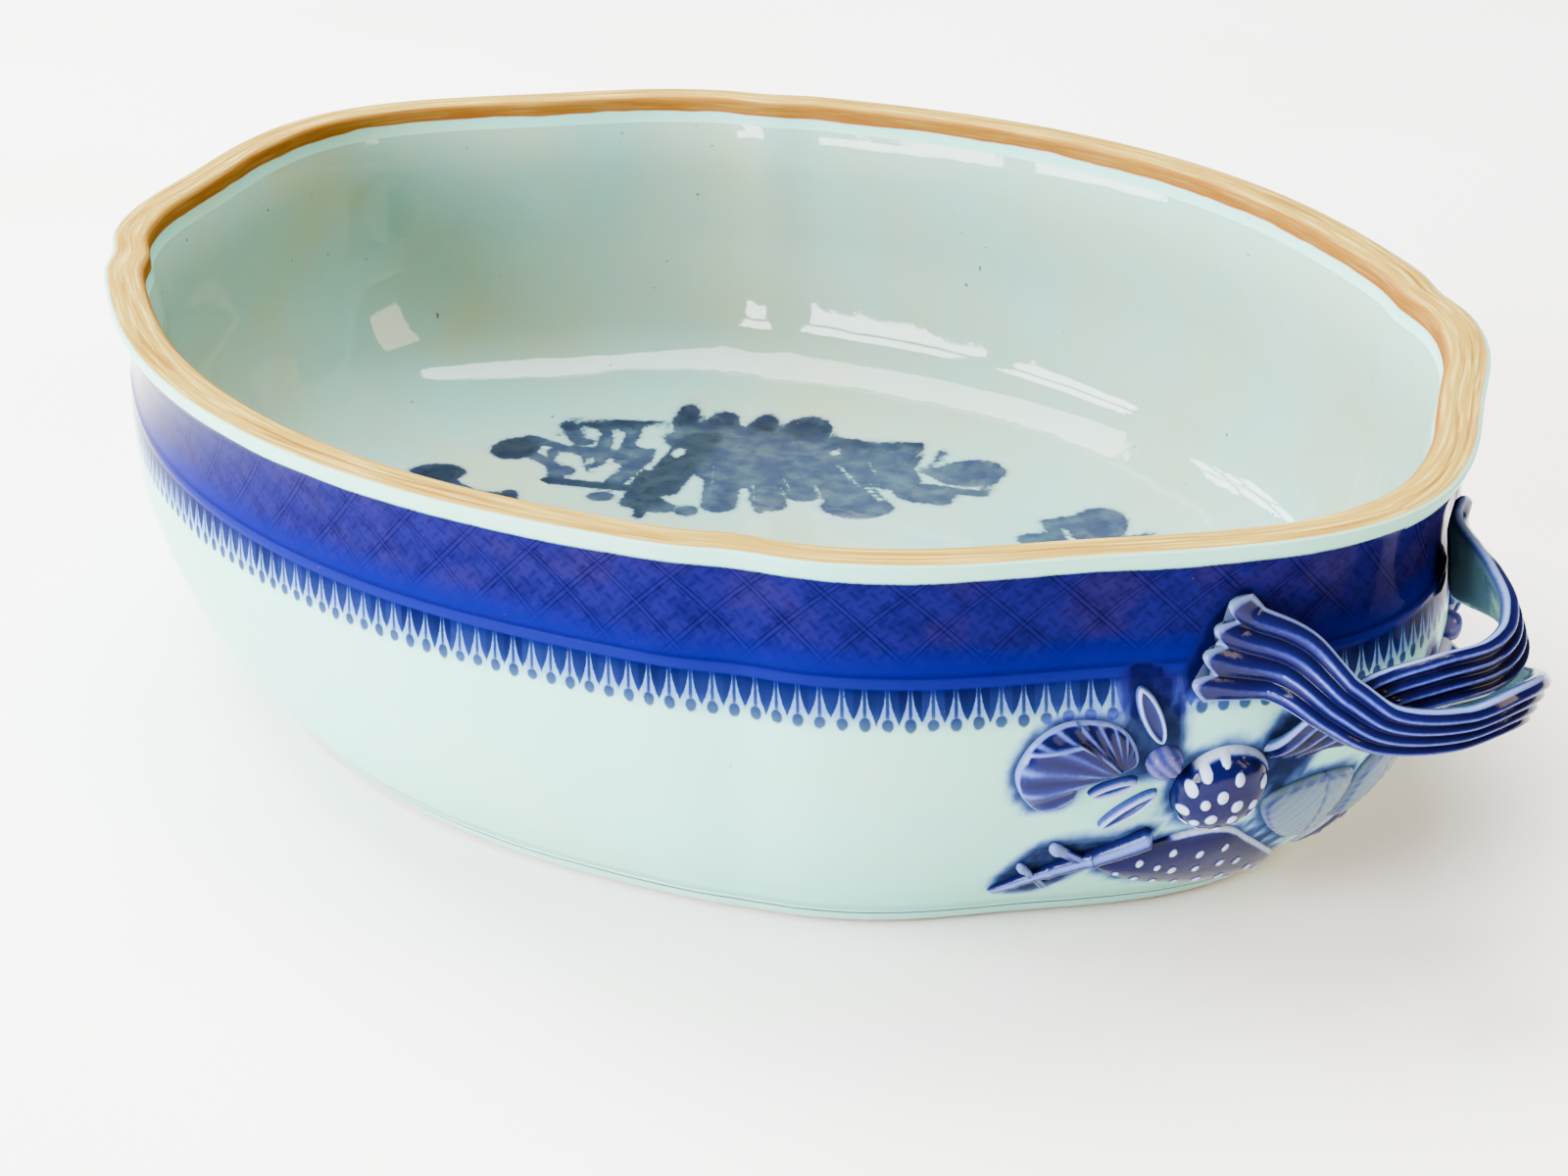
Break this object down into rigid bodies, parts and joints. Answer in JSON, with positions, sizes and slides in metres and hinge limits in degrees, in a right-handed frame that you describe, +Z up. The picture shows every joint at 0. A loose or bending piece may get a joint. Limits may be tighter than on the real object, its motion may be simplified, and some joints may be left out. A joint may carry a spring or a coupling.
{
  "type": "porcelain serving bowl",
  "caption": "Oval lobed blue-and-white porcelain serving bowl with crossed ribbed strap handles, moulded leaf and berry sprays at their roots, and an oval foot ring.",
  "frame": {"origin": "on the table, under the middle of the oval foot ring", "axes": "+X along the bowl's length to one handle, +Y across its width, +Z up through the open top"},
  "size_m": [0.3534, 0.2292, 0.0765],
  "materials": {
    "bowl_glaze": "clear bluish white glaze with an underglaze cobalt border and an unglazed rim",
    "foot_glaze": "clear bluish white glaze, wiped off the standing edge",
    "cobalt_glaze": "clear glaze over cobalt blue, thin and white on raised edges",
    "pale_leaf_glaze": "clear glaze over a pale cobalt wash with blue edges"
  },
  "bodies": {
    "root": {"bowl_body": "bowl_glaze", "foot_ring": "foot_glaze", "right_outer_strap": "cobalt_glaze", "right_inner_strap": "cobalt_glaze", "right_near_fan_leaf": "cobalt_glaze", "right_near_upright_petal": "cobalt_glaze", "right_near_upper_petal": "cobalt_glaze", "right_near_lower_petal": "cobalt_glaze", "right_near_calyx": "cobalt_glaze", "right_near_strawberry": "cobalt_glaze", "right_near_spotted_leaf": "cobalt_glaze", "right_near_twig": "cobalt_glaze", "right_near_under_leaf": "pale_leaf_glaze", "right_far_fan_leaf": "cobalt_glaze", "right_far_upright_petal": "cobalt_glaze", "right_far_upper_petal": "cobalt_glaze", "right_far_lower_petal": "cobalt_glaze", "right_far_calyx": "cobalt_glaze", "right_far_strawberry": "cobalt_glaze", "right_far_spotted_leaf": "cobalt_glaze", "right_far_twig": "cobalt_glaze", "right_far_under_leaf": "pale_leaf_glaze", "left_outer_strap": "cobalt_glaze", "left_inner_strap": "cobalt_glaze", "left_near_fan_leaf": "cobalt_glaze", "left_near_upright_petal": "cobalt_glaze", "left_near_upper_petal": "cobalt_glaze", "left_near_lower_petal": "cobalt_glaze", "left_near_calyx": "cobalt_glaze", "left_near_strawberry": "cobalt_glaze", "left_near_spotted_leaf": "cobalt_glaze", "left_near_twig": "cobalt_glaze", "left_near_under_leaf": "pale_leaf_glaze", "left_far_fan_leaf": "cobalt_glaze", "left_far_upright_petal": "cobalt_glaze", "left_far_upper_petal": "cobalt_glaze", "left_far_lower_petal": "cobalt_glaze", "left_far_calyx": "cobalt_glaze", "left_far_strawberry": "cobalt_glaze", "left_far_spotted_leaf": "cobalt_glaze", "left_far_twig": "cobalt_glaze", "left_far_under_leaf": "pale_leaf_glaze"}
  },
  "joints": []
}
